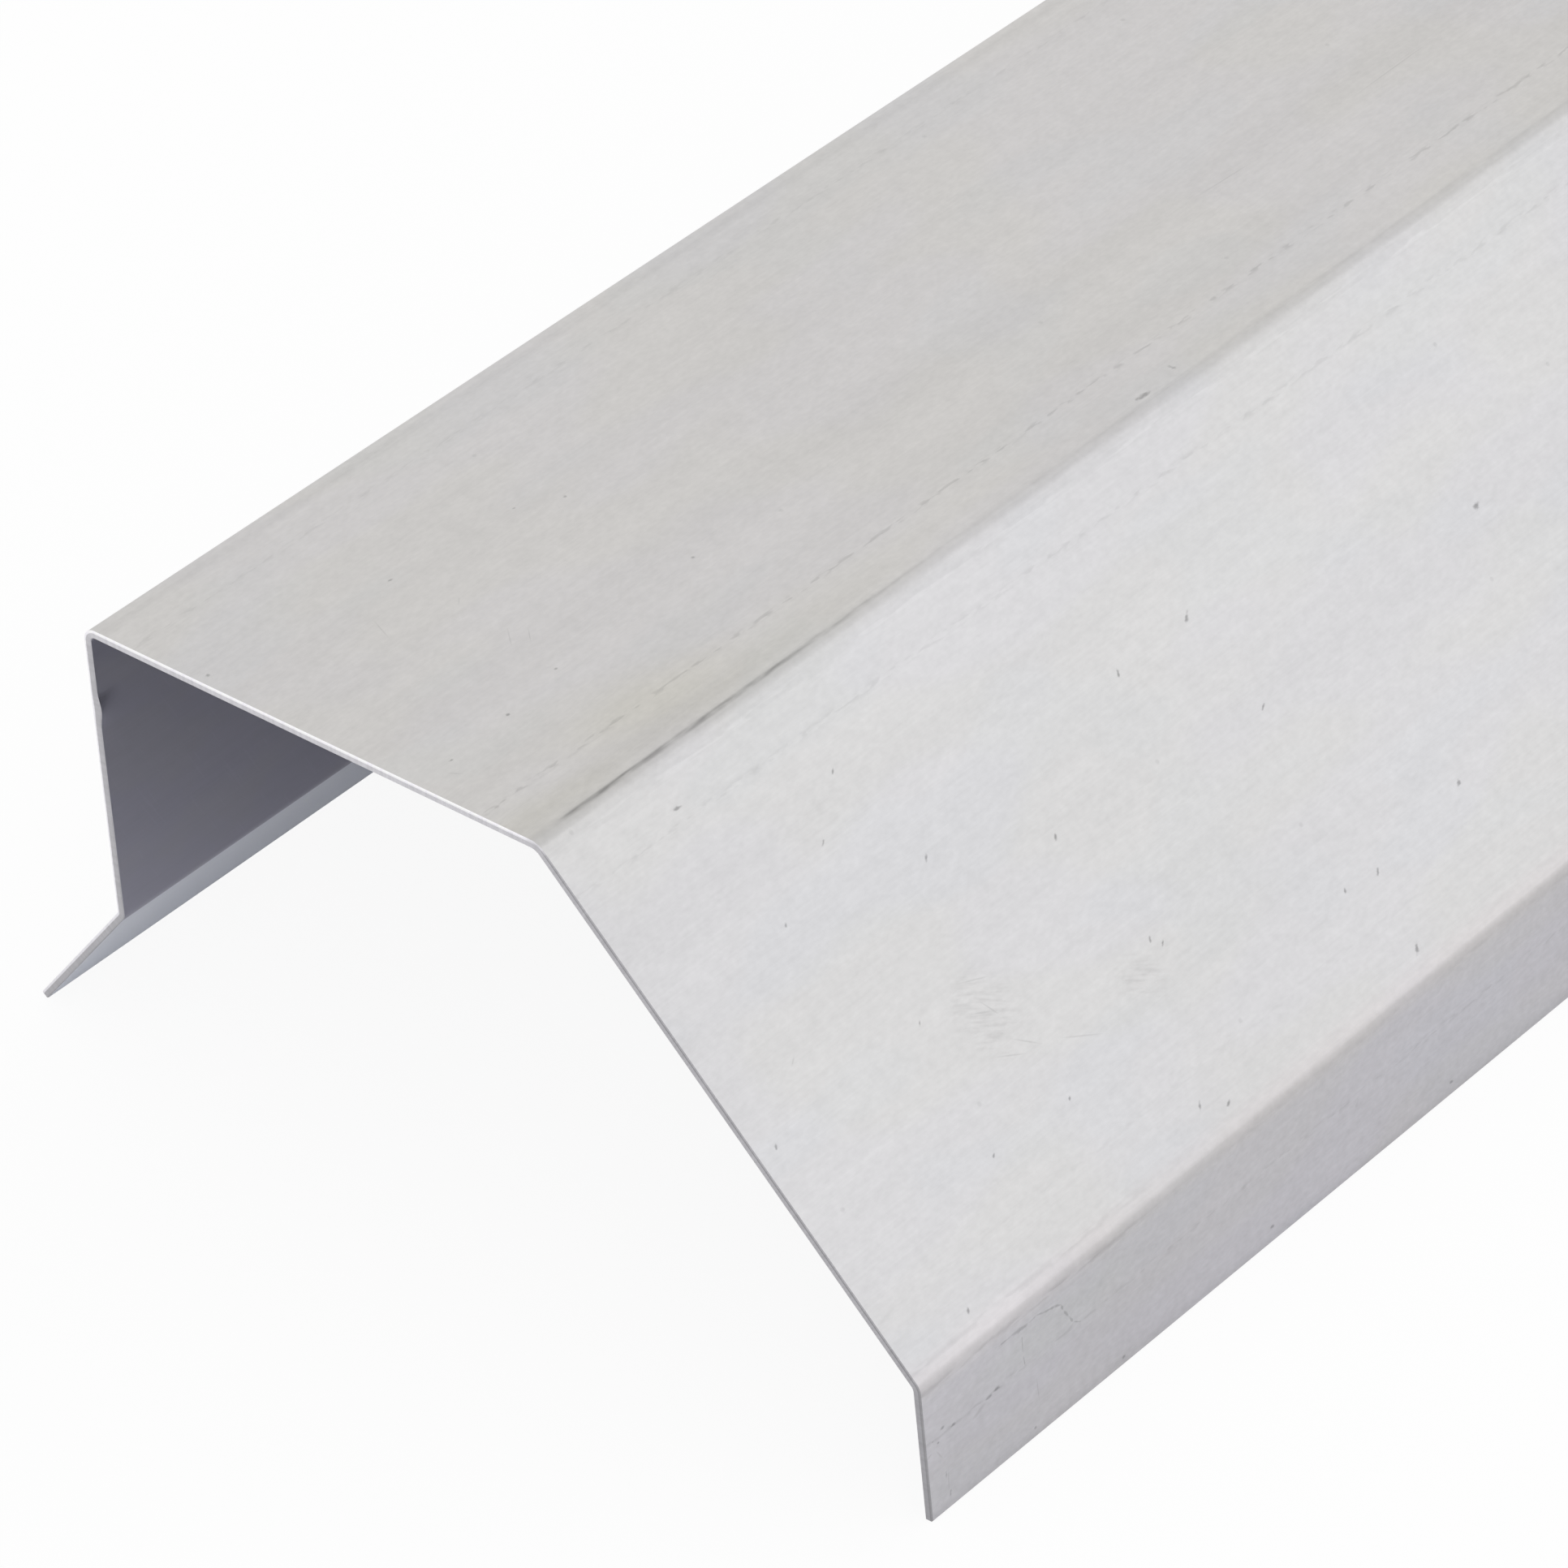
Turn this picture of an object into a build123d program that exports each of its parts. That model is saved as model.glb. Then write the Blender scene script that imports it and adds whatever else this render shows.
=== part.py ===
from build123d import *
from math import atan2, cos, degrees, radians, sin
import os

# Sheet and stock length, in millimetres
sheet_thickness = 0.8
stock_length = 2000.0

# Legs of the section, each measured on the outer face between its fold lines
lip_width = 18.0
flange_height = 30.6
top_width = 52.3
slope_width = 54.3
drop_height = 14.0

# Angle in degrees that the sheet is turned through at each fold
lip_fold = 39.0
top_fold = 89.4
slope_fold = 45.2
drop_fold = 42.6

# Inside radius of each fold
lip_fold_radius = 0.3
top_fold_radius = 0.6
slope_fold_radius = 1.2
drop_fold_radius = 0.8


def step(start, heading, distance):
    """The point that lies a distance from start, along a heading in degrees from the section's X."""
    angle = radians(heading)
    return Vector(start.X + distance * cos(angle), start.Y + distance * sin(angle))


# Heading of each leg, walked from the lip's free edge to the drop's, with the flange upright.
# The lip is folded outward, to the left of the walk, and every other leg to the right.
flange_heading = 90.0
lip_heading = flange_heading - lip_fold
top_heading = flange_heading - top_fold
slope_heading = top_heading - slope_fold
drop_heading = slope_heading - drop_fold

# Corners of the outer face, from free edge to free edge, before the folds are rounded
lip_edge = Vector(0, 0)
flange_foot = step(lip_edge, lip_heading, lip_width)
top_corner = step(flange_foot, flange_heading, flange_height)
ridge = step(top_corner, top_heading, top_width)
slope_foot = step(ridge, slope_heading, slope_width)
drop_edge = step(slope_foot, drop_heading, drop_height)
outer_corners = [lip_edge, flange_foot, top_corner, ridge, slope_foot, drop_edge]

# The outer face is the hollow side of the lip's fold and the round side of the other three
outer_radii = [
    lip_fold_radius,
    top_fold_radius + sheet_thickness,
    slope_fold_radius + sheet_thickness,
    drop_fold_radius + sheet_thickness,
]

# The piece lies on the inner corners of its two free edges, so it is tilted until both are level
quarter_turn = 90.0
lip_rest = step(lip_edge, lip_heading - quarter_turn, sheet_thickness)
drop_rest = step(drop_edge, drop_heading - quarter_turn, sheet_thickness)
rest_tilt = degrees(atan2(drop_rest.Y - lip_rest.Y, drop_rest.X - lip_rest.X))
tilted_plane = Plane(
    origin=(0, 0, 0),
    x_dir=Vector(1, 0, 0).rotate(Axis.Y, rest_tilt),
    z_dir=(0, -1, 0),
)

# The origin is on the floor, halfway between the outermost points of the two free edges
floor_level = tilted_plane.from_local_coords(lip_rest).Z
left_reach = tilted_plane.from_local_coords(lip_edge).X
right_reach = tilted_plane.from_local_coords(drop_edge).X
middle = (left_reach + right_reach) / 2
section_plane = Plane(
    origin=(-middle, 0, -floor_level),
    x_dir=tilted_plane.x_dir,
    z_dir=tilted_plane.z_dir,
)

# Folded sheet: the outer face's line, thickened inward and drawn out along the stock
with BuildPart() as flashing:
    with BuildSketch(section_plane):
        with BuildLine():
            FilletPolyline(outer_corners, radius=outer_radii)
            offset(amount=sheet_thickness, side=Side.RIGHT)
        make_face()
    extrude(amount=stock_length / 2, both=True)
flashing.part.label = "flashing"

os.makedirs("parts", exist_ok=True)
export_step(flashing.part, "parts/flashing.step")
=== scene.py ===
import math

import bpy
import numpy as np
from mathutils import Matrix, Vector


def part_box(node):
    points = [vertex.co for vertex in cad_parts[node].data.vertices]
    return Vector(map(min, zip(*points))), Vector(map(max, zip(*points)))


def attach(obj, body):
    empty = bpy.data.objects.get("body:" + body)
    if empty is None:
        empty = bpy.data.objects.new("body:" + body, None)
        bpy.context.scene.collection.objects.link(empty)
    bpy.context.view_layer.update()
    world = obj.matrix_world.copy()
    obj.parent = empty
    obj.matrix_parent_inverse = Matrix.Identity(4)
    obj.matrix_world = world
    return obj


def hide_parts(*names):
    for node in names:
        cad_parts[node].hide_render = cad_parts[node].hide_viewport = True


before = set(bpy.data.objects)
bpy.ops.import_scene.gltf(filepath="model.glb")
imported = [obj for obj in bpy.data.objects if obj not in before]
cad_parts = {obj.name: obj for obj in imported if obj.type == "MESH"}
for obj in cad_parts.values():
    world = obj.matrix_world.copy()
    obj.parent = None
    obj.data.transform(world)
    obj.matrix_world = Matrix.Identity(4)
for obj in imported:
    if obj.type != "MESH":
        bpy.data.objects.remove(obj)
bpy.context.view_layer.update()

MM = 0.001

# Folded section, in millimetres and degrees, walked from the lip's free edge to the drop's.
# Each fold has the angle it turns the sheet through, inward if above zero, and its inside radius.
SHEET = 0.8
LEGS = {"lip": 18.0, "flange": 30.6, "top": 52.3, "slope": 54.3, "drop": 14.0}
FOLDS = {"lip_fold": (-39.0, 0.3), "top_fold": (89.4, 0.6), "ridge": (45.2, 1.2), "brow": (42.6, 0.8)}
FLANGE_HEADING = 90.0
QUARTER_TURN = 90.0

# Mesh spacing, in millimetres and degrees: on the flats, along the stock, beside an edge, over the burr
# and round the folds
FLAT_STEP = 4.0
LENGTH_STEP = 10.0
SUPPORT = 0.35
BURR_STEP = 0.5
BURR_ROWS = 6
FOLD_STEP_DEG = 5.0
FEWEST_FOLD_STEPS = 2
SHARP_DEG = 30.0

# How far the cut edges are rounded, in millimetres
EDGE_ROUND = 0.09

# The shear left a burr on the flange's cut edge: where on the leg, how long, how far down the stock it
# reaches and how far in it stands
BURR_AT = 22.0
BURR_HALF_LENGTH = 1.8
BURR_REACH = 3.0
BURR_DEPTH = 0.28

# Order of the finishes on the mesh. The first two also number the sheet's sides.
OUTSIDE, INSIDE, CUT_EDGE = range(3)

# Camera, in millimetres and degrees, and how far it sees, in metres. An azimuth is clockwise from +Y, seen
# from above, here and in the lamps.
CAMERA_AT = (353.9, -1370.1, 461.6)
CAMERA_AZIMUTH = 139.289
CAMERA_ELEVATION = 38.755
LENS_MM = 184.21
SENSOR_MM = 36.0
SIGHT = 50.0

# Studio, in metres and degrees. The floor shows the camera and the metal some plain white over its own
# colour. Of each lamp: azimuth, elevation, distance from the aim, size and power.
FLOOR_HALF = 15.0
FLOOR_COLOUR = 0.85
CAMERA_WHITE = 0.92
GLOSSY_WHITE = 0.08
WORLD_STRENGTH = 0.95
WHITE = (1.0, 1.0, 1.0, 1.0)
LAMP_AIM = (0.0, -0.9, 0.03)
LAMPS = {
    "left_softbox": (-43.0, 34.0, 4.0, 3.0, 2.0),
    "right_softbox": (42.0, 35.0, 4.0, 3.0, 11.4),
    "front_softbox": (150.0, 45.0, 4.0, 3.0, 18.0),
}

# Depth of the finishes' relief, and a size so large that it leaves nothing of a coordinate
BUMP_DISTANCE = 0.012 * MM
BUMP_STRENGTH = 1.0
FLATTEN = 1e6

# Middle level of Blender's noise
NOISE_MEAN = 0.5

# Sockets of Blender's Mix node
MIX_FACTOR = 0
FLOAT_A, FLOAT_B, FLOAT_RESULT = 2, 3, 0
COLOUR_A, COLOUR_B, COLOUR_RESULT = 6, 7, 2

# Noise: patch across and along in millimetres, levels of detail, seed, degrees turned
NOISES = {
    "hair": (0.22, 14.0, 2.0, 3.0),
    "grain": (0.9, 60.0, 2.0, 11.0),
    "bands": (5.0, 400.0, 0.0, 23.0),
    "speckle": (0.45, 0.8, 3.0, 37.0),
    "clouds": (9.0, 16.0, 3.0, 51.0),
    "drift": (26.0, 60.0, 1.0, 73.0),
    "mottle": (1.3, 2.4, 2.0, 67.0),
    "die_dots": (0.4, 1.7, 1.0, 91.0),
    "crease_shade_depth": (0.4, 3.0, 1.0, 127.0),
    "wear": (0.4, 6.0, 1.0, 133.0),
    "broken_line": (0.6, 3.0, 1.0, 151.0),
    "rubbing": (0.4, 2.4, 3.0, 171.0, -27.0),
    "warm": (14.0, 30.0, 1.0, 191.0),
    "cool": (11.0, 24.0, 1.0, 211.0),
    "back_hair": (0.25, 18.0, 2.0, 7.0),
    "back_grain": (1.2, 80.0, 2.0, 17.0),
    "back_clouds": (8.0, 15.0, 3.0, 57.0),
    "back_die_dots": (0.5, 3.0, 2.0, 97.0),
    "scuffs": (0.5, 7.0, 2.0, 117.0, 64.0),
    "streaks": (0.35, 0.35, 3.0, 9.0),
    "patches": (3.0, 3.0, 2.0, 19.0),
}

# Level of a noise at which its patches begin, and at which they show in full
PATCH_LEVELS = {
    "die_dots": (-0.02, 0.16),
    "wear": (0.0, 0.12),
    "broken_line": (-0.12, 0.10),
    "rubbing": (-0.10, 0.22),
    "warm": (-0.06, 0.08),
    "cool": (0.02, 0.14),
    "back_die_dots": (-0.12, 0.12),
    "back_clouds": (-0.1, 0.1),
    "scuffs": (0.16, 0.24),
}

# Stretches of the sheet: the place they are measured from, where they are 0 and where they are 1
STRETCHES = {
    "near": ("near_end", 55.0, 18.0),
    "clear_of_end": ("near_end", 2.0, 6.0),
    "by_end": ("near_end", 34.0, 22.0),
    # Past the ridge and the brow the colour takes a painted tint of reflected light
    "reflection_tint_past_ridge": ("ridge", -1.0, 1.0),
    "reflection_tint_past_brow": ("brow", 0.0, 2.0),
    "on_drop": ("brow", 0.0, 1.0),
    "lower_edge": ("drop", 12.6, 13.8),
    # Back of the lip, where a painted reflection makes it paler
    "lip_reflection": ("lip_fold", -0.1, -0.7),
}

# Lines along the folds: fold, how far past its middle, half width
FOLD_LINES = {
    # Painted highlight on the top's outer corner, and painted shade just past it
    "top_fold_highlight": ("top_fold", -0.4, 0.8),
    "top_fold_shade": ("top_fold", 1.5, 1.1),
    # Painted shade in the fold at the ridge and beside it
    "crease_shade": ("ridge", -0.5, 0.36),
    "shaded_furrow": ("ridge", -0.55, 0.75),
    "ridge_band": ("ridge", -2.6, 3.2),
    # Painted shade just past the ridge, where the fold's shading runs on
    "shoulder_shade": ("ridge", 0.9, 1.3),
    "worn_line": ("ridge", 1.3, 0.7),
    # Painted shade under the brow
    "under_brow_shade": ("brow", 0.6, 0.5),
    "over_brow": ("brow", -1.2, 0.45),
    # Pink of a painted highlight over the brow
    "brow_highlight_tint": ("brow", -0.3, 2.2),
}

# The painted shade in the fold at the ridge is uneven: its mean depth, and how much a noise about zero adds
CREASE_SHADE_MEAN = 0.85
CREASE_SHADE_SWING = 2.2

# What is left, away from the near end, of the darker band before the ridge and of the brow's lines, of
# which the one under the brow is painted shade, and how yellow that band is beside the stain
RIDGE_BAND_LEAST = 0.2
BROW_LINE_LEAST = 0.3
YELLOWED_RIDGE_BAND = 0.6

# Faint dotted lines that the brake's die leaves beside each fold: face, distance from its first corner,
# strength
DIE_LINES = [
    ("top", 5.8, 0.08),
    ("top", 46.0, 0.16),
    ("slope", 5.5, 0.09),
    ("slope", 47.9, 0.04),
    ("drop", 6.0, 0.10),
]
DIE_LINE_HALF_WIDTH = 0.5

# Spots, by the place they are measured from: across, along from the near end, half width, half length,
# degrees turned from the length. First the dark pits and specks.
SPECKS = {
    "top": [
        (16.6, 20.6, 0.20, 0.35), (20.2, 39.0, 0.25, 0.35), (17.8, 35.0, 0.15, 0.25),
        (38.7, 4.4, 0.20, 0.30), (38.1, 12.0, 0.20, 0.25), (36.9, 19.3, 0.18, 0.30),
        (35.3, 38.5, 0.20, 0.25), (13.7, 1.2, 0.30, 0.30), (50.8, 80.6, 0.45, 1.10),
        (50.0, 85.6, 0.60, 0.35),
    ],
    "slope": [
        (9.4, 28.7, 0.14, 0.42, 48), (13.7, 23.7, 0.14, 0.42, 36), (17.4, 15.7, 0.16, 0.38, 58),
        (19.9, 31.5, 0.20, 0.42, 44), (17.0, 59.7, 0.18, 0.52, 62), (16.6, 69.5, 0.22, 0.75, 40),
        (25.0, 44.0, 0.18, 0.45, 52), (26.9, 70.7, 0.14, 0.45, 30), (31.5, 2.1, 0.16, 0.38, 55),
        (30.5, 21.2, 0.13, 0.33, 46), (24.1, 104.0, 0.40, 0.60), (43.2, 29.4, 0.14, 0.33, 48),
        (43.0, 19.6, 0.14, 0.33, 36), (43.8, 66.5, 0.16, 0.38, 58), (44.3, 70.7, 0.18, 0.45, 44),
        (42.5, 84.0, 0.35, 0.40), (36.8, 46.0, 0.18, 0.45, 62), (37.7, 46.9, 0.14, 0.38, 40),
        (50.5, 40.2, 0.18, 0.52, 52), (51.8, 42.9, 0.18, 0.52, 30), (51.7, 8.5, 0.20, 0.52, 55),
        (51.6, 69.4, 0.22, 0.68, 46), (4.3, 13.5, 0.18, 0.50),
    ],
    "drop": [
        (12.4, 45.6, 0.20, 0.30), (13.2, 25.2, 0.20, 0.35), (13.0, 13.5, 0.20, 0.25),
        (12.7, 71.0, 0.20, 0.35), (6.1, 0.9, 0.12, 0.18), (6.6, 1.6, 0.14, 0.20),
        (5.5, 2.3, 0.20, 0.35), (6.0, 3.6, 0.20, 0.35), (6.0, 9.1, 0.25, 0.50),
        (6.2, 8.1, 0.22, 0.60), (10.3, 2.2, 0.15, 0.45, 80), (12.5, 2.5, 0.15, 0.45, 80),
    ],
}

# Hairline scratches
SCRATCHES = {
    "top": [
        (21.0, 14.8, 0.10, 1.9, 68), (30.6, 20.4, 0.10, 1.7, 50), (31.8, 21.6, 0.08, 1.3, 48),
        (40.2, 3.2, 0.09, 1.1, -60), (23.5, 21.8, 0.08, 0.8, 40), (35.0, 137.0, 0.10, 8.0, 1),
        (34.4, 113.0, 0.10, 5.0, -3),
    ],
    "slope": [
        (33.0, 27.1, 0.12, 1.0, -24), (37.2, 29.2, 0.12, 1.9, -39), (39.7, 34.3, 0.11, 2.7, -26),
        (37.3, 27.0, 0.11, 2.1, -25), (30.4, 28.3, 0.11, 2.2, -19), (33.1, 28.0, 0.11, 1.3, -64),
        (26.7, 8.4, 0.12, 0.6, 34),
    ],
    "drop": [
        (7.9, 1.6, 0.12, 0.9, -60), (7.3, 0.4, 0.12, 0.5, 30), (6.8, 6.8, 0.30, 1.4, 20),
        (9.3, 14.2, 0.09, 1.6, -88), (11.2, 2.4, 0.10, 1.6, 86),
    ],
}

# Large soft patches: handling on the slope, a stain before the ridge, a painted highlight on the brow's
# near end and a dull place below it. The handling shows in full from a share of its mark.
SMUDGES = {"slope": [(33.0, 27.5, 6.5, 5.5, -30), (38.8, 42.8, 3.6, 4.4, -30)]}
STAIN = {"top": [(46.5, 20.0, 5.5, 15.0)]}
BROW_END_HIGHLIGHT = {"brow": [(-0.2, 9.0, 2.2, 11.0)]}
DULL_PATCH = {"brow": [(4.0, 17.0, 3.8, 13.0)]}
SMUDGE_FULL = 0.8

# Fine cracks on the drop just below the brow: half width, then points across and along
CRACK_PATHS = [
    (0.14, [(1.98, 9.6), (1.97, 11.7), (2.12, 13.8)]),
    (0.26, [(1.95, 11.3), (2.10, 13.9)]),
    (0.17, [
        (2.10, 13.8), (1.95, 14.8), (2.25, 15.8), (2.50, 17.1), (2.88, 17.9), (3.52, 18.1),
        (4.71, 18.8), (5.51, 19.2),
    ]),
    (0.09, [(2.67, 12.8), (4.69, 12.75), (6.14, 12.9)]),
    (0.09, [(5.51, 19.2), (6.12, 20.2)]),
]

# Random pits: share of a pit's radius that is full, and how softly its cell is chosen
PIT_CORE = 0.3
PIT_CHOICE = 0.01

# Looks: linear colour and roughness of the bare metal, then how much each mark adds to the colour's tone,
# to the roughness and to the relief, and the tint it leans the colour towards
OUTSIDE_LOOK = {
    "colour": (0.607, 0.594, 0.591),
    "roughness": 0.42,
    "tone": {
        "hair": 0.06, "grain": 0.05, "bands": 0.05, "speckle": 0.11, "drop_speckle": 0.05,
        "mottle": 0.09, "drop_mottle": 0.02, "clouds": 0.07, "drift": 0.06, "die_lines": -1.0,
        # Painted light: highlight and shade beside the top's outer corner, shade at the ridge's fold and
        # just past it, shade under the brow and a highlight on its near end
        "top_fold_highlight": 0.55, "top_fold_shade": -0.06,
        "crease_shade": -0.05, "near_crease_shade": -0.30, "shaded_furrow": -0.03, "near_furrow_shade": -0.06,
        "ridge_band": -0.06, "shoulder_shade": -0.05, "worn_line": 0.06,
        "under_brow_shade": -0.15, "over_brow": -0.09, "lower_edge": -0.05, "brow_end_highlight": 0.05,
        "specks": -0.26, "scratches": -0.12, "cracks": -0.24, "pits": -0.10,
        "rubbed": -0.03, "stain": -0.03,
    },
    "rougher": {"grain": 0.10, "clouds": 0.10, "rubbed": 0.08, "specks": 0.25, "ridge_band": 0.06},
    "relief": {"hair": 0.6, "grain": 1.0, "speckle": 0.5, "shaded_furrow": -1.5},
    "tints": {
        "warm": (1.0, 1.0, 0.982),
        "cool": (0.988, 0.995, 1.0),
        "yellowed": (1.0, 0.995, 0.95),
        # Pink of a painted highlight over the brow
        "brow_highlight_tint": (1.0, 0.975, 0.98),
        "dull_patch": (0.985, 1.0, 0.975),
        # Painted tint of reflected light past the ridge and past the brow
        "reflection_tint_past_ridge": (0.975, 0.988, 1.012),
        "reflection_tint_past_brow": (0.992, 0.983, 1.018),
    },
}
# The back's darker, bluer grey is painted shade
INSIDE_LOOK = {
    "colour": (0.445, 0.442, 0.52),
    "roughness": 0.34,
    "tone": {
        "hair": 0.05, "grain": 0.06, "clouds": 0.10, "die_lines": -1.0, "pits": -0.2, "scuffs": 0.04,
        # Paler, greener tone on the back of the lip: a painted reflection
        "lip_reflection": 1.0,
    },
    "rougher": {"grain": 0.10, "clouds": 0.10, "scuffs": 0.05},
    "relief": {"hair": 0.6, "grain": 1.0, "pits": -1.0},
    "tints": {"warm": (1.0, 1.0, 0.97), "lip_reflection": (1.015, 1.05, 1.0)},
}
EDGE_LOOK = {
    "colour": (1.0, 0.985, 1.03),
    "roughness": 0.40,
    "tone": {"streaks": 0.25, "patches": 0.15},
    "rougher": {},
    "relief": {"streaks": 2.0, "patches": 1.0},
    "tints": {},
}

# Cut edge: tone of the body on each leg, and of the line where the blade entered near the outer face,
# which is painted as a highlight on the lip, flange and top and darker on the slope and drop.
# The line's depth, and how far from it the line fades out and is full, are shares of the thickness, and
# the blend at a fold is a share of the width.
EDGE_BODY = {"lip": 0.52, "flange": 0.52, "top": 0.68, "slope": 0.56, "drop": 0.48}
# The line is a painted highlight on the lip, flange and top
EDGE_ENTRY = {"lip": 0.90, "flange": 0.95, "top": 1.0, "slope": 0.36, "drop": 0.36}
ENTRY_DEPTH = 0.08
ENTRY_FADE = 0.22
ENTRY_FULL = 0.08
FOLD_BLEND = 0.008


def direction(heading):
    angle = math.radians(heading)
    return np.array([math.cos(angle), math.sin(angle)])


def left_of(heading):
    return direction(heading + QUARTER_TURN)


def bearing(azimuth, elevation):
    """Unit vector towards an azimuth and an elevation."""
    round_by, up_by = math.radians(azimuth), math.radians(elevation)
    level = math.cos(up_by)
    return Vector((math.sin(round_by) * level, math.cos(round_by) * level, math.sin(up_by)))


def spread(start, end, step):
    """Even marks from start to end, about a step apart."""
    count = max(1, round((end - start) / step))
    return list(np.linspace(start, end, count + 1))


def add_object(name, data):
    added = bpy.data.objects.new(name, data)
    bpy.context.scene.collection.objects.link(added)
    return added


def look_along(thing, heading):
    thing.rotation_mode = "QUATERNION"
    thing.rotation_quaternion = heading.to_track_quat("-Z", "Y")


def leg_marks(leg, flat):
    """Where across the flat of a leg the mesh has points."""
    marks = [0.0] + spread(SUPPORT, flat - SUPPORT, FLAT_STEP) + [flat]
    if leg == "lip":
        marks.append(EDGE_ROUND)
    if leg == "drop":
        marks.append(flat - EDGE_ROUND)
    if leg == "flange":
        marks += spread(BURR_AT - BURR_HALF_LENGTH, BURR_AT + BURR_HALF_LENGTH, BURR_STEP)
    return sorted(marks)


def fold_points(start, heading, turn, radius):
    """Points round a fold: middle of the sheet, outward normal and share of the turn. Also the arc's
    length at the middle of the sheet."""
    side = -1 if turn > 0 else 1
    centre = start + left_of(heading) * side * radius
    arc = math.radians(abs(turn)) * (radius + side * SHEET / 2)
    steps = max(FEWEST_FOLD_STEPS, round(abs(turn) / FOLD_STEP_DEG))
    points = []
    for i in range(1, steps):
        normal = left_of(heading - turn * i / steps)
        outer = centre - side * normal * radius
        points.append((outer - normal * SHEET / 2, normal, i / steps))
    return points, arc


def section_stations():
    """Points across the sheet, from free edge to free edge: middle of the sheet, outward normal, developed
    width, and leg or fold. Also the developed width at each leg's first corner and each fold's middle."""
    stations = []
    places = {}
    corner = np.array([0.0, 0.0])
    heading = FLANGE_HEADING + FOLDS["lip_fold"][0]
    width = 0.0
    setback_before = 0.0
    for leg, fold in zip(LEGS, [*FOLDS, None]):
        turn, inside_radius = FOLDS.get(fold, (0.0, 0.0))
        radius = inside_radius + (SHEET if turn > 0 else 0.0)
        setback = radius * math.tan(math.radians(abs(turn)) / 2)
        flat = LEGS[leg] - setback_before - setback
        places[leg] = width - setback_before
        ahead = direction(heading)
        normal = left_of(heading)
        start = corner + ahead * setback_before
        for mark in leg_marks(leg, flat):
            stations.append((start + ahead * mark - normal * SHEET / 2, normal, width + mark, leg))
        width += flat
        if turn:
            points, arc = fold_points(start + ahead * flat, heading, turn, radius)
            stations += [(middle, outward, width + arc * share, fold) for middle, outward, share in points]
            places[fold] = width + arc / 2
            width += arc
        corner = corner + ahead * LEGS[leg]
        heading -= turn
        setback_before = setback
    return stations, places


def at_rest(stations):
    """The section turned so that the inner corners of its free edges both lie on the floor, and centred."""
    half = SHEET / 2
    lip_middle, lip_normal = stations[0][:2]
    drop_middle, drop_normal = stations[-1][:2]
    lip_foot = lip_middle - lip_normal * half
    drop_foot = drop_middle - drop_normal * half
    tilt = math.atan2(drop_foot[1] - lip_foot[1], drop_foot[0] - lip_foot[0])
    turn = np.array([[math.cos(tilt), math.sin(tilt)], [-math.sin(tilt), math.cos(tilt)]])
    left = turn @ (lip_middle + lip_normal * half)
    right = turn @ (drop_middle + drop_normal * half)
    shift = np.array([-(left[0] + right[0]) / 2, -(turn @ lip_foot)[1]])
    return [(turn @ middle + shift, turn @ normal, across, leg) for middle, normal, across, leg in stations]


def length_stations():
    """Where along the stock the mesh has points, closer together at the near end for the burr."""
    low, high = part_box("flashing")
    start, end = low.y / MM, high.y / MM
    near = [start + SUPPORT + BURR_STEP * k for k in range(BURR_ROWS + 1)]
    rest = spread(near[-1], end - SUPPORT, LENGTH_STEP)
    return [start, start + EDGE_ROUND] + near[:-1] + rest + [end - EDGE_ROUND, end]


def burr(across, along):
    """How far the inner face stands in, at a point of the flange, where the shear pushed metal inward."""
    away = (across - BURR_AT) / BURR_HALF_LENGTH
    if abs(away) >= 1 or along > BURR_REACH:
        return 0.0
    return BURR_DEPTH * (1 - away * away) ** 2 * (1 - along / BURR_REACH) ** 2


def sheet_points(stations, lengths, flange_corner):
    """Points of the outer and inner face, and their coordinates on the sheet: across, along and side."""
    rows, columns = len(lengths), len(stations)
    points = np.zeros((2, rows, columns, 3))
    coordinates = np.zeros((2, rows, columns, 3))
    for j, y in enumerate(lengths):
        along = y - lengths[0]
        for i, (middle, normal, across, leg) in enumerate(stations):
            at_edge = j in (0, rows - 1) or i in (0, columns - 1)
            half = SHEET / 2 - (EDGE_ROUND if at_edge else 0.0)
            pushed_in = burr(across - flange_corner, along) if leg == "flange" else 0.0
            for side, offset in ((OUTSIDE, half), (INSIDE, -half - pushed_in)):
                x, z = middle + normal * offset
                points[side, j, i] = (x, y, z)
                coordinates[side, j, i] = (across, along, side)
    return points, coordinates


def sheet_faces(rows, columns):
    """Faces of the two sides and then of the four cut edges, and the finish of each. The outermost strip of
    each side is the rounding of a cut edge."""
    outer, inner = np.arange(2 * rows * columns).reshape(2, rows, columns).tolist()
    faces = []
    finishes = []
    for j in range(rows - 1):
        for i in range(columns - 1):
            faces.append((outer[j][i], outer[j][i + 1], outer[j + 1][i + 1], outer[j + 1][i]))
            faces.append((inner[j][i], inner[j + 1][i], inner[j + 1][i + 1], inner[j][i + 1]))
            rounded = j in (0, rows - 2) or i in (0, columns - 2)
            finishes += [CUT_EDGE, CUT_EDGE] if rounded else [OUTSIDE, INSIDE]
    for j in range(rows - 1):
        faces.append((outer[j][0], outer[j + 1][0], inner[j + 1][0], inner[j][0]))
        faces.append((outer[j][-1], inner[j][-1], inner[j + 1][-1], outer[j + 1][-1]))
    for i in range(columns - 1):
        faces.append((outer[0][i], inner[0][i], inner[0][i + 1], outer[0][i + 1]))
        faces.append((outer[-1][i], outer[-1][i + 1], inner[-1][i + 1], inner[-1][i]))
    finishes += [CUT_EDGE] * (len(faces) - len(finishes))
    return faces, finishes


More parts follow.
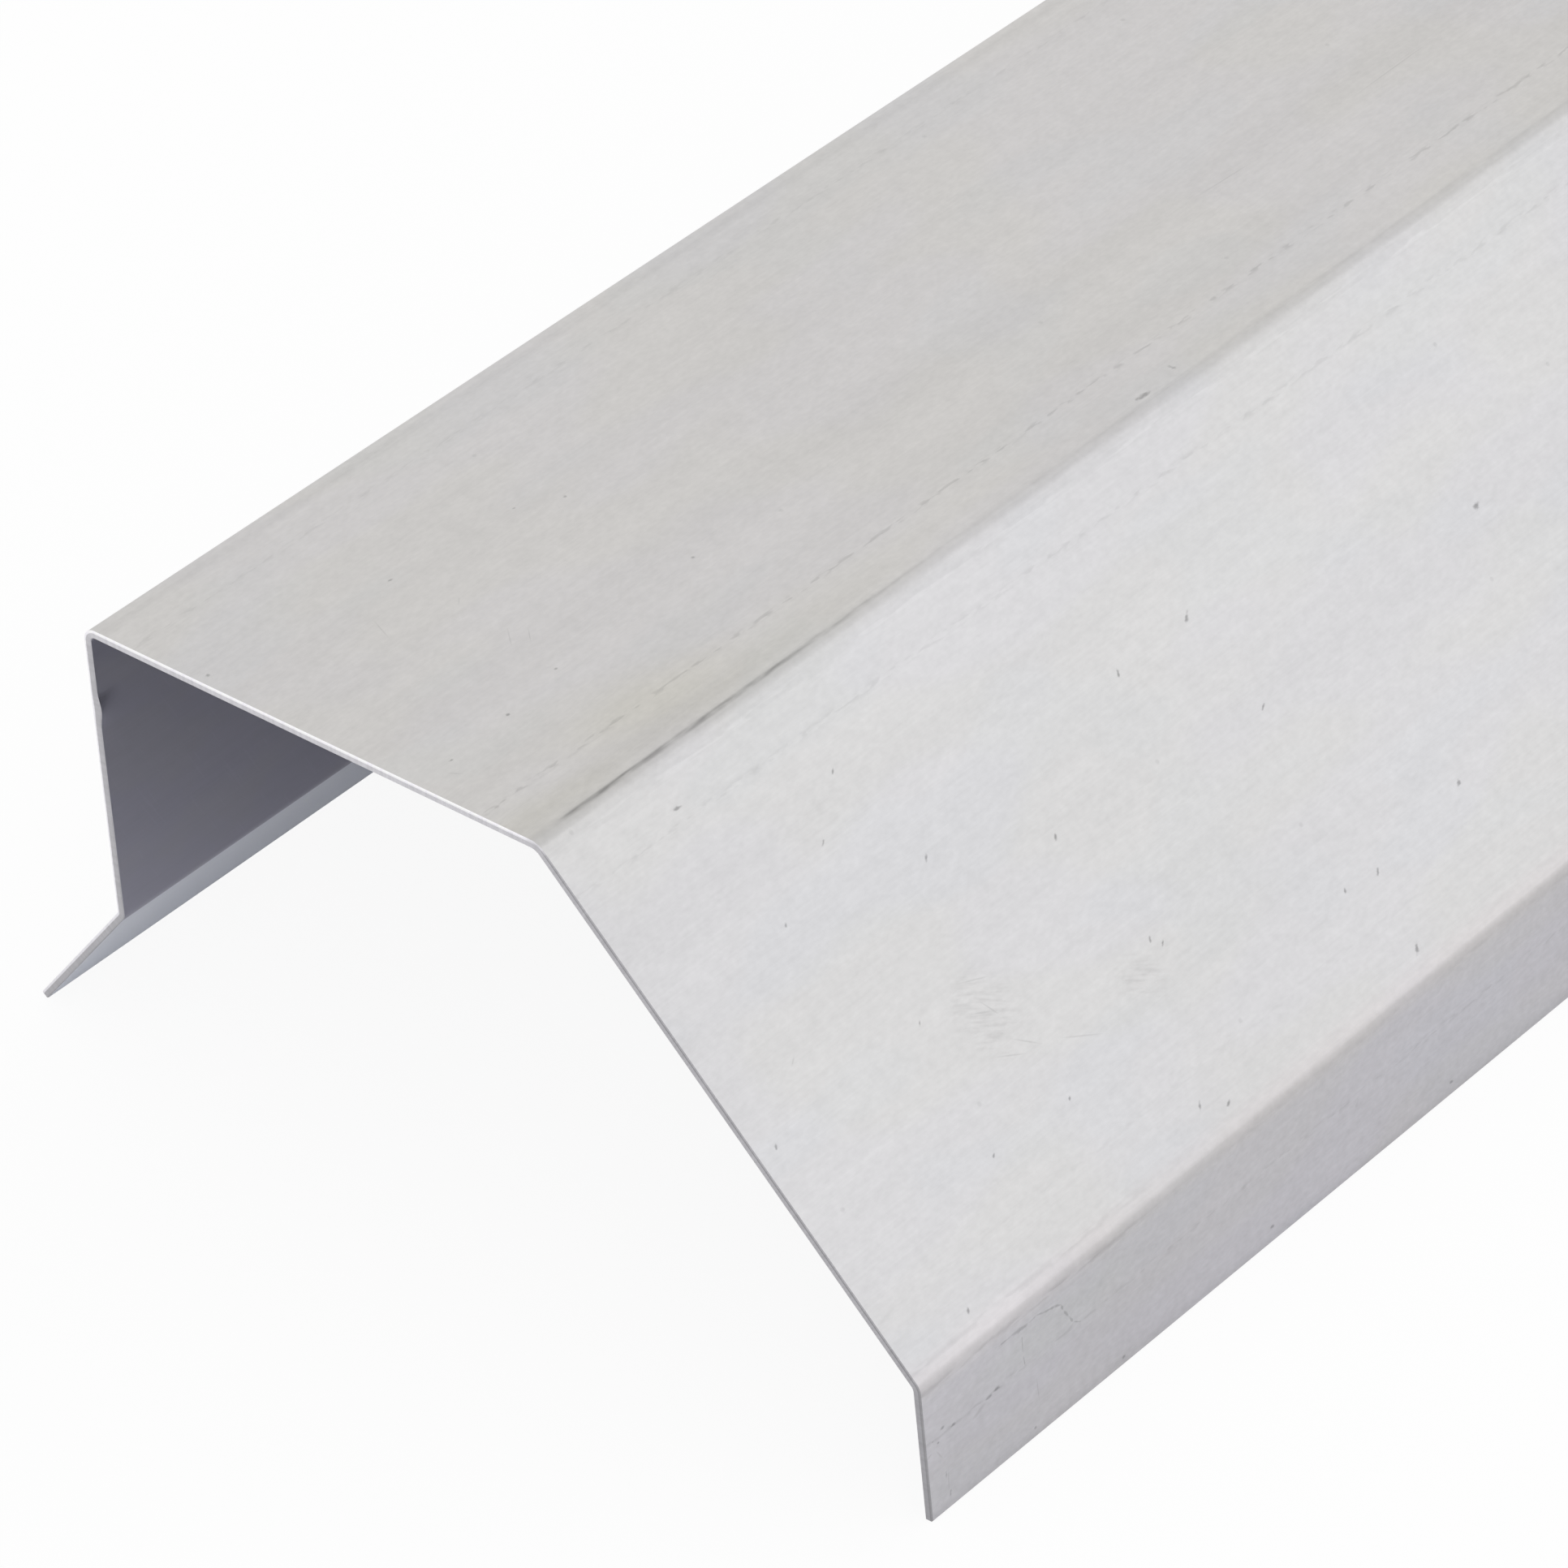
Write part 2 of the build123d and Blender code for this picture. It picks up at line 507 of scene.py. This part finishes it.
def build_sheet(stations, places):
    lengths = length_stations()
    points, coordinates = sheet_points(stations, lengths, places["flange"])
    faces, finishes = sheet_faces(len(lengths), len(stations))
    mesh = bpy.data.meshes.new("folded_sheet")
    mesh.from_pydata((points.reshape(-1, 3) * MM).tolist(), [], faces)
    mesh.polygons.foreach_set("material_index", finishes)
    mesh.shade_smooth()
    mesh.set_sharp_from_angle(angle=math.radians(SHARP_DEG))
    layer = mesh.attributes.new("sheet", "FLOAT_VECTOR", "POINT")
    layer.data.foreach_set("vector", coordinates.reshape(-1))
    mesh.update()
    return add_object("folded_sheet", mesh)


def crack_spots():
    """One long thin spot on the drop for each stretch of the cracks' paths."""
    rows = []
    for half_width, points in CRACK_PATHS:
        for (across0, along0), (across1, along1) in zip(points, points[1:]):
            turned = math.degrees(math.atan2(across0 - across1, along1 - along0))
            half_length = math.hypot(across1 - across0, along1 - along0) / 2 + half_width
            middle = ((across0 + across1) / 2, (along0 + along1) / 2)
            rows.append((*middle, half_width, half_length, turned))
    return {"drop": rows}


class Graph:
    """A material's node graph, with short calls for its nodes."""

    def __init__(self, name):
        self.material = bpy.data.materials.new(name)
        self.material.use_nodes = True
        self.nodes = self.material.node_tree.nodes
        self.links = self.material.node_tree.links

    def give(self, socket, value):
        """Links another node's output to the socket, or sets it to a plain value."""
        if isinstance(value, bpy.types.NodeSocket):
            self.links.new(value, socket)
        else:
            socket.default_value = value

    def math(self, operation, *values):
        node = self.nodes.new("ShaderNodeMath")
        node.operation = operation
        for socket, value in zip(node.inputs, values):
            self.give(socket, value)
        return node.outputs[0]

    def product(self, first, *others):
        for other in others:
            first = self.math("MULTIPLY", first, other)
        return first


class Finish(Graph):
    """A metal finish: named marks over the sheet, and a look that says what each of them does. Coordinates
    are the sheet's own, in millimetres: across the developed width, along from the near end, and a depth
    from 0 outside to 1 inside."""

    def __init__(self, name, look, places):
        super().__init__(name)
        self.look = look
        self.places = places
        self.marks = {}
        self.shader = self.nodes["Principled BSDF"]
        self.shader.inputs["Metallic"].default_value = 1.0
        self.shader.inputs["Roughness"].default_value = look["roughness"]
        attribute = self.nodes.new("ShaderNodeAttribute")
        attribute.attribute_name = "sheet"
        self.coordinates = attribute.outputs["Vector"]
        split = self.nodes.new("ShaderNodeSeparateXYZ")
        self.links.new(self.coordinates, split.inputs[0])
        self.across, self.along, self.depth = split.outputs

    def step(self, value, zero_at, one_at):
        """Smoothly 0 at one level and 1 at the other, whichever is larger."""
        node = self.nodes.new("ShaderNodeMapRange")
        node.interpolation_type = "SMOOTHSTEP"
        self.give(node.inputs["Value"], value)
        node.inputs["From Min"].default_value = zero_at
        node.inputs["From Max"].default_value = one_at
        return node.outputs[0]

    def at_least(self, least, share):
        """The share squeezed between least and 1."""
        return self.math("MULTIPLY_ADD", share, 1 - least, least)

    def seen_from(self, across, along, half_width, half_length, turned=0.0):
        """Coordinates counted from a place, in half widths and half lengths, turned some degrees. A place
        that isn't turned takes a cheaper node."""
        if turned:
            node = self.nodes.new("ShaderNodeMapping")
            node.vector_type = "TEXTURE"
            self.links.new(self.coordinates, node.inputs["Vector"])
            node.inputs["Location"].default_value = (across, along, 0)
            node.inputs["Rotation"].default_value = (0, 0, math.radians(turned))
            node.inputs["Scale"].default_value = (half_width, half_length, FLATTEN)
            return node.outputs[0]
        node = self.nodes.new("ShaderNodeVectorMath")
        node.operation = "MULTIPLY_ADD"
        self.links.new(self.coordinates, node.inputs[0])
        node.inputs[1].default_value = (1 / half_width, 1 / half_length, 0)
        node.inputs[2].default_value = (-across / half_width, -along / half_length, 0)
        return node.outputs[0]

    def noise(self, name):
        """Noise about zero."""
        across, along, detail, seed, *turned = NOISES[name]
        node = self.nodes.new("ShaderNodeTexNoise")
        node.noise_dimensions = "2D"
        self.links.new(self.seen_from(seed, seed, across, along, *turned), node.inputs["Vector"])
        node.inputs["Scale"].default_value = 1.0
        node.inputs["Detail"].default_value = detail
        return self.math("SUBTRACT", node.outputs[0], NOISE_MEAN)

    def patches(self, name):
        """1 where the noise is high and 0 where it is low."""
        return self.step(self.noise(name), *PATCH_LEVELS[name])

    def stretch(self, name):
        """1 on one side of a stretch of the sheet and 0 on the other."""
        place, zero_at, one_at = STRETCHES[name]
        if place == "near_end":
            return self.step(self.along, zero_at, one_at)
        start = self.places[place]
        return self.step(self.across, start + zero_at, start + one_at)

    def line(self, across, half_width):
        """1 along a line down the sheet, fading to 0 at half its width away."""
        away = self.math("ABSOLUTE", self.math("SUBTRACT", self.across, across))
        return self.step(away, half_width, 0.0)

    def fold_line(self, name):
        """1 along a line beside a fold."""
        fold, past, half_width = FOLD_LINES[name]
        return self.line(self.places[fold] + past, half_width)

    def die_lines(self, dots):
        """The die's lines, each at its own strength, broken into dots."""
        value = 0.0
        for face, across, strength in DIE_LINES:
            mark = self.product(self.line(self.places[face] + across, DIE_LINE_HALF_WIDTH), dots)
            value = self.math("MULTIPLY_ADD", mark, strength, value)
        return value

    def away_from(self, *spot):
        """Distance from a spot's middle, 1 at its rim."""
        node = self.nodes.new("ShaderNodeVectorMath")
        node.operation = "LENGTH"
        self.links.new(self.seen_from(*spot), node.inputs[0])
        return node.outputs["Value"]

    def spots(self, rows_by_place, core, ragged=0.0):
        """1 inside any of the spots, from a core's share of the radius, fading to 0 at the rim, which the
        speckle may make ragged."""
        nearest = None
        for place, rows in rows_by_place.items():
            for across, *others in rows:
                away = self.away_from(self.places[place] + across, *others)
                nearest = away if nearest is None else self.math("MINIMUM", nearest, away)
        if ragged:
            nearest = self.math("MULTIPLY_ADD", self.marks["speckle"], ragged, nearest)
        return self.step(nearest, 1.0, core)

    def pits(self, cell, radius, share, seed):
        """Random round pits: 1 inside a pit. Such a share of the cells has one."""
        place = self.nodes.new("ShaderNodeMapping")
        self.links.new(self.coordinates, place.inputs["Vector"])
        place.inputs["Location"].default_value = (seed, seed, 0)
        cells = self.nodes.new("ShaderNodeTexVoronoi")
        cells.voronoi_dimensions = "2D"
        self.links.new(place.outputs[0], cells.inputs["Vector"])
        cells.inputs["Scale"].default_value = 1 / cell
        chosen = self.step(cells.outputs["Color"], 1 - share, 1 - share + PIT_CHOICE)
        inside = self.step(cells.outputs["Distance"], radius / cell, PIT_CORE * radius / cell)
        return self.product(inside, chosen)

    def total(self, start, amounts):
        """start plus each named mark times its amount."""
        value = start
        for name, amount in amounts.items():
            value = self.math("MULTIPLY_ADD", self.marks[name], amount, value)
        return value

    def tinted(self, tone):
        """The look's colour times the tone, leaned towards each tint by its mark."""
        scale = self.nodes.new("ShaderNodeVectorMath")
        scale.operation = "SCALE"
        scale.inputs[0].default_value = self.look["colour"]
        self.links.new(tone, scale.inputs["Scale"])
        value = scale.outputs[0]
        for name, tint in self.look["tints"].items():
            blend = self.nodes.new("ShaderNodeMix")
            blend.data_type = "RGBA"
            blend.blend_type = "MULTIPLY"
            self.links.new(self.marks[name], blend.inputs[MIX_FACTOR])
            self.links.new(value, blend.inputs[COLOUR_A])
            blend.inputs[COLOUR_B].default_value = (*tint, 1)
            value = blend.outputs[COLOUR_RESULT]
        return value

    def finished(self, shade=None):
        """The material, with its marks joined to the shader and its tone times a shade."""
        tone = self.total(1.0, self.look["tone"])
        if shade is not None:
            tone = self.product(shade, tone)
        self.links.new(self.tinted(tone), self.shader.inputs["Base Color"])
        self.give(self.shader.inputs["Roughness"], self.total(self.look["roughness"], self.look["rougher"]))
        bump = self.nodes.new("ShaderNodeBump")
        bump.inputs["Strength"].default_value = BUMP_STRENGTH
        bump.inputs["Distance"].default_value = BUMP_DISTANCE
        self.links.new(self.total(0.0, self.look["relief"]), bump.inputs["Height"])
        self.links.new(bump.outputs[0], self.shader.inputs["Normal"])
        return self.material


def add_rolled_surface(metal):
    """Grain down the length, clouding, and the die's dotted lines."""
    marks = metal.marks
    for name in ("hair", "grain", "bands", "speckle", "clouds", "drift", "mottle"):
        marks[name] = metal.noise(name)
    on_drop = metal.stretch("on_drop")
    marks["drop_speckle"] = metal.product(marks["speckle"], on_drop)
    marks["drop_mottle"] = metal.product(marks["mottle"], on_drop)
    marks["die_lines"] = metal.die_lines(metal.patches("die_dots"))


def add_fold_marks(metal):
    """Painted highlight and shade beside the top's outer corner, painted shade at the ridge's fold and just
    past it, a darker band before the ridge, wear past it, and painted highlight and shade at the brow.
    """
    marks = metal.marks
    # Painted highlight and shade beside the top's outer corner, painted shade beside the ridge's fold and
    # just past it, and the pink of a painted highlight over the brow
    for name in ("top_fold_highlight", "top_fold_shade", "shaded_furrow", "shoulder_shade", "brow_highlight_tint"):
        marks[name] = metal.fold_line(name)
    near = metal.stretch("near")
    # Painted shade in the fold at the ridge, uneven along it and darker near the near end
    depth = metal.math("MULTIPLY_ADD", metal.noise("crease_shade_depth"), CREASE_SHADE_SWING, CREASE_SHADE_MEAN)
    marks["crease_shade"] = metal.product(metal.fold_line("crease_shade"), depth, metal.stretch("clear_of_end"))
    marks["near_crease_shade"] = metal.product(marks["crease_shade"], near)
    marks["near_furrow_shade"] = metal.product(marks["shaded_furrow"], near)
    marks["ridge_band"] = metal.product(metal.fold_line("ridge_band"), metal.at_least(RIDGE_BAND_LEAST, near))
    marks["worn_line"] = metal.product(metal.fold_line("worn_line"), metal.patches("wear"))
    by_end = metal.at_least(BROW_LINE_LEAST, metal.stretch("by_end"))
    broken = metal.product(metal.patches("broken_line"), by_end)
    # Painted shade under the brow, broken and fading away from the near end
    marks["under_brow_shade"] = metal.product(metal.fold_line("under_brow_shade"), broken)
    marks["over_brow"] = metal.product(metal.fold_line("over_brow"), broken)
    marks["lower_edge"] = metal.stretch("lower_edge")
    # Painted highlight on the brow's near end
    marks["brow_end_highlight"] = metal.spots(BROW_END_HIGHLIGHT, core=0.2)


def add_damage(metal):
    """Specks, scratches, cracks, pits and rubbed patches."""
    marks = metal.marks
    marks["specks"] = metal.spots(SPECKS, core=0.1, ragged=1.6)
    marks["scratches"] = metal.spots(SCRATCHES, core=0.2)
    marks["cracks"] = metal.spots(crack_spots(), core=0.3, ragged=1.2)
    marks["pits"] = metal.pits(cell=9.0, radius=0.32, share=0.22, seed=5.0)
    smudge = metal.step(metal.spots(SMUDGES, core=0.0), 0.0, SMUDGE_FULL)
    marks["rubbed"] = metal.product(smudge, metal.patches("rubbing"))
    marks["stain"] = metal.spots(STAIN, core=0.1)


def add_tints(metal):
    """Where the colour leans warm, cool, yellow or green, and the painted tint of reflected light that
    shifts it past the folds.
    """
    marks = metal.marks
    marks["warm"] = metal.patches("warm")
    marks["cool"] = metal.patches("cool")
    marks["yellowed"] = metal.math("MAXIMUM", marks["stain"], metal.product(marks["ridge_band"], YELLOWED_RIDGE_BAND))
    marks["dull_patch"] = metal.spots(DULL_PATCH, core=0.2)
    # Painted tint of reflected light past the ridge and past the brow
    marks["reflection_tint_past_ridge"] = metal.stretch("reflection_tint_past_ridge")
    marks["reflection_tint_past_brow"] = metal.stretch("reflection_tint_past_brow")


def outside_finish(places):
    """Bare rolled metal."""
    metal = Finish("mill_sheet", OUTSIDE_LOOK, places)
    add_rolled_surface(metal)
    add_fold_marks(metal)
    add_damage(metal)
    add_tints(metal)
    return metal.finished()


def inside_finish(places):
    """The back of the sheet: slightly smoother, in a darker and bluer grey that is painted shade, paler on
    the lip as a painted reflection, with the same grain.
    """
    metal = Finish("sheet_back", INSIDE_LOOK, places)
    marks = metal.marks
    for name in ("hair", "grain", "clouds"):
        marks[name] = metal.noise("back_" + name)
    marks["die_lines"] = metal.die_lines(metal.patches("back_die_dots"))
    marks["pits"] = metal.pits(cell=10.0, radius=0.3, share=0.2, seed=15.0)
    marks["scuffs"] = metal.patches("scuffs")
    # Painted reflection on the back of the lip
    marks["lip_reflection"] = metal.stretch("lip_reflection")
    marks["warm"] = metal.step(marks["clouds"], *PATCH_LEVELS["back_clouds"])
    return metal.finished()


def grey(level):
    return (level, level, level, 1)


def edge_ramp(metal, tones):
    """Tone of the cut edge, leg by leg, with a short blend at each fold."""
    width = metal.places["drop"] + LEGS["drop"]
    node = metal.nodes.new("ShaderNodeValToRGB")
    metal.links.new(metal.math("DIVIDE", metal.across, width), node.inputs[0])
    stops = node.color_ramp.elements
    stops[0].color = grey(tones["lip"])
    stops[-1].color = grey(tones["drop"])
    for before, after in zip(LEGS, list(LEGS)[1:]):
        at = metal.places[after] / width
        stops.new(at - FOLD_BLEND).color = grey(tones[before])
        stops.new(at + FOLD_BLEND).color = grey(tones[after])
    return node.outputs[0]


def edge_finish(places):
    """Sheared metal: bright and streaked through the thickness, with a line where the blade entered that is
    painted as a highlight on the lip, flange and top.
    """
    metal = Finish("cut_edge", EDGE_LOOK, places)
    for name in ("streaks", "patches"):
        metal.marks[name] = metal.noise(name)
    body = edge_ramp(metal, EDGE_BODY)
    # Line where the blade entered, painted as a highlight on the lip, flange and top
    entry = edge_ramp(metal, EDGE_ENTRY)
    from_entry = metal.math("ABSOLUTE", metal.math("SUBTRACT", metal.depth, ENTRY_DEPTH))
    blend = metal.nodes.new("ShaderNodeMix")
    metal.links.new(metal.step(from_entry, ENTRY_FADE, ENTRY_FULL), blend.inputs[MIX_FACTOR])
    metal.links.new(body, blend.inputs[FLOAT_A])
    metal.links.new(entry, blend.inputs[FLOAT_B])
    return metal.finished(shade=blend.outputs[FLOAT_RESULT])


def make_camera():
    data = bpy.data.cameras.new("camera")
    data.sensor_width = SENSOR_MM
    data.lens = LENS_MM
    data.clip_end = SIGHT
    camera = add_object("camera", data)
    camera.location = Vector(CAMERA_AT) * MM
    look_along(camera, -bearing(CAMERA_AZIMUTH, CAMERA_ELEVATION))
    bpy.context.scene.camera = camera


def floor_material():
    """White floor: the camera sees a softened shadow on it, and the metal sees it a little paler."""
    graph = Graph("floor")
    graph.nodes.clear()
    out = graph.nodes.new("ShaderNodeOutputMaterial")
    diffuse = graph.nodes.new("ShaderNodeBsdfDiffuse")
    diffuse.inputs["Color"].default_value = grey(FLOOR_COLOUR)
    white = graph.nodes.new("ShaderNodeEmission")
    path = graph.nodes.new("ShaderNodeLightPath").outputs
    glossy = graph.math("MAXIMUM", path["Is Glossy Ray"], path["Is Transmission Ray"])
    glossy_share = graph.product(glossy, GLOSSY_WHITE)
    share = graph.math("MULTIPLY_ADD", path["Is Camera Ray"], CAMERA_WHITE, glossy_share)
    mix = graph.nodes.new("ShaderNodeMixShader")
    graph.links.new(share, mix.inputs["Fac"])
    graph.links.new(diffuse.outputs[0], mix.inputs[1])
    graph.links.new(white.outputs[0], mix.inputs[2])
    graph.links.new(mix.outputs[0], out.inputs["Surface"])
    return graph.material


def make_floor():
    mesh = bpy.data.meshes.new("floor")
    h = FLOOR_HALF
    mesh.from_pydata([(-h, -h, 0), (h, -h, 0), (h, h, 0), (-h, h, 0)], [], [(0, 1, 2, 3)])
    mesh.materials.append(floor_material())
    add_object("floor", mesh)


def make_world():
    """Even pale surround that lights the object."""
    world = bpy.data.worlds.new("studio")
    bpy.context.scene.world = world
    world.use_nodes = True
    background = world.node_tree.nodes["Background"]
    background.inputs["Color"].default_value = WHITE
    background.inputs["Strength"].default_value = WORLD_STRENGTH


def make_lamp(name, azimuth, elevation, distance, size, power):
    """A square white softbox that faces the near end."""
    data = bpy.data.lights.new(name, "AREA")
    data.shape = "SQUARE"
    data.size = size
    data.energy = power
    lamp = add_object(name, data)
    outward = bearing(azimuth, elevation)
    lamp.location = Vector(LAMP_AIM) + outward * distance
    look_along(lamp, -outward)


stations, places = section_stations()
sheet = build_sheet(at_rest(stations), places)
for finish in (outside_finish, inside_finish, edge_finish):
    sheet.data.materials.append(finish(places))
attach(sheet, "root")
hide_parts("flashing")

make_camera()
make_floor()
make_world()
for name, values in LAMPS.items():
    make_lamp(name, *values)
bpy.context.scene.view_settings.view_transform = "Standard"
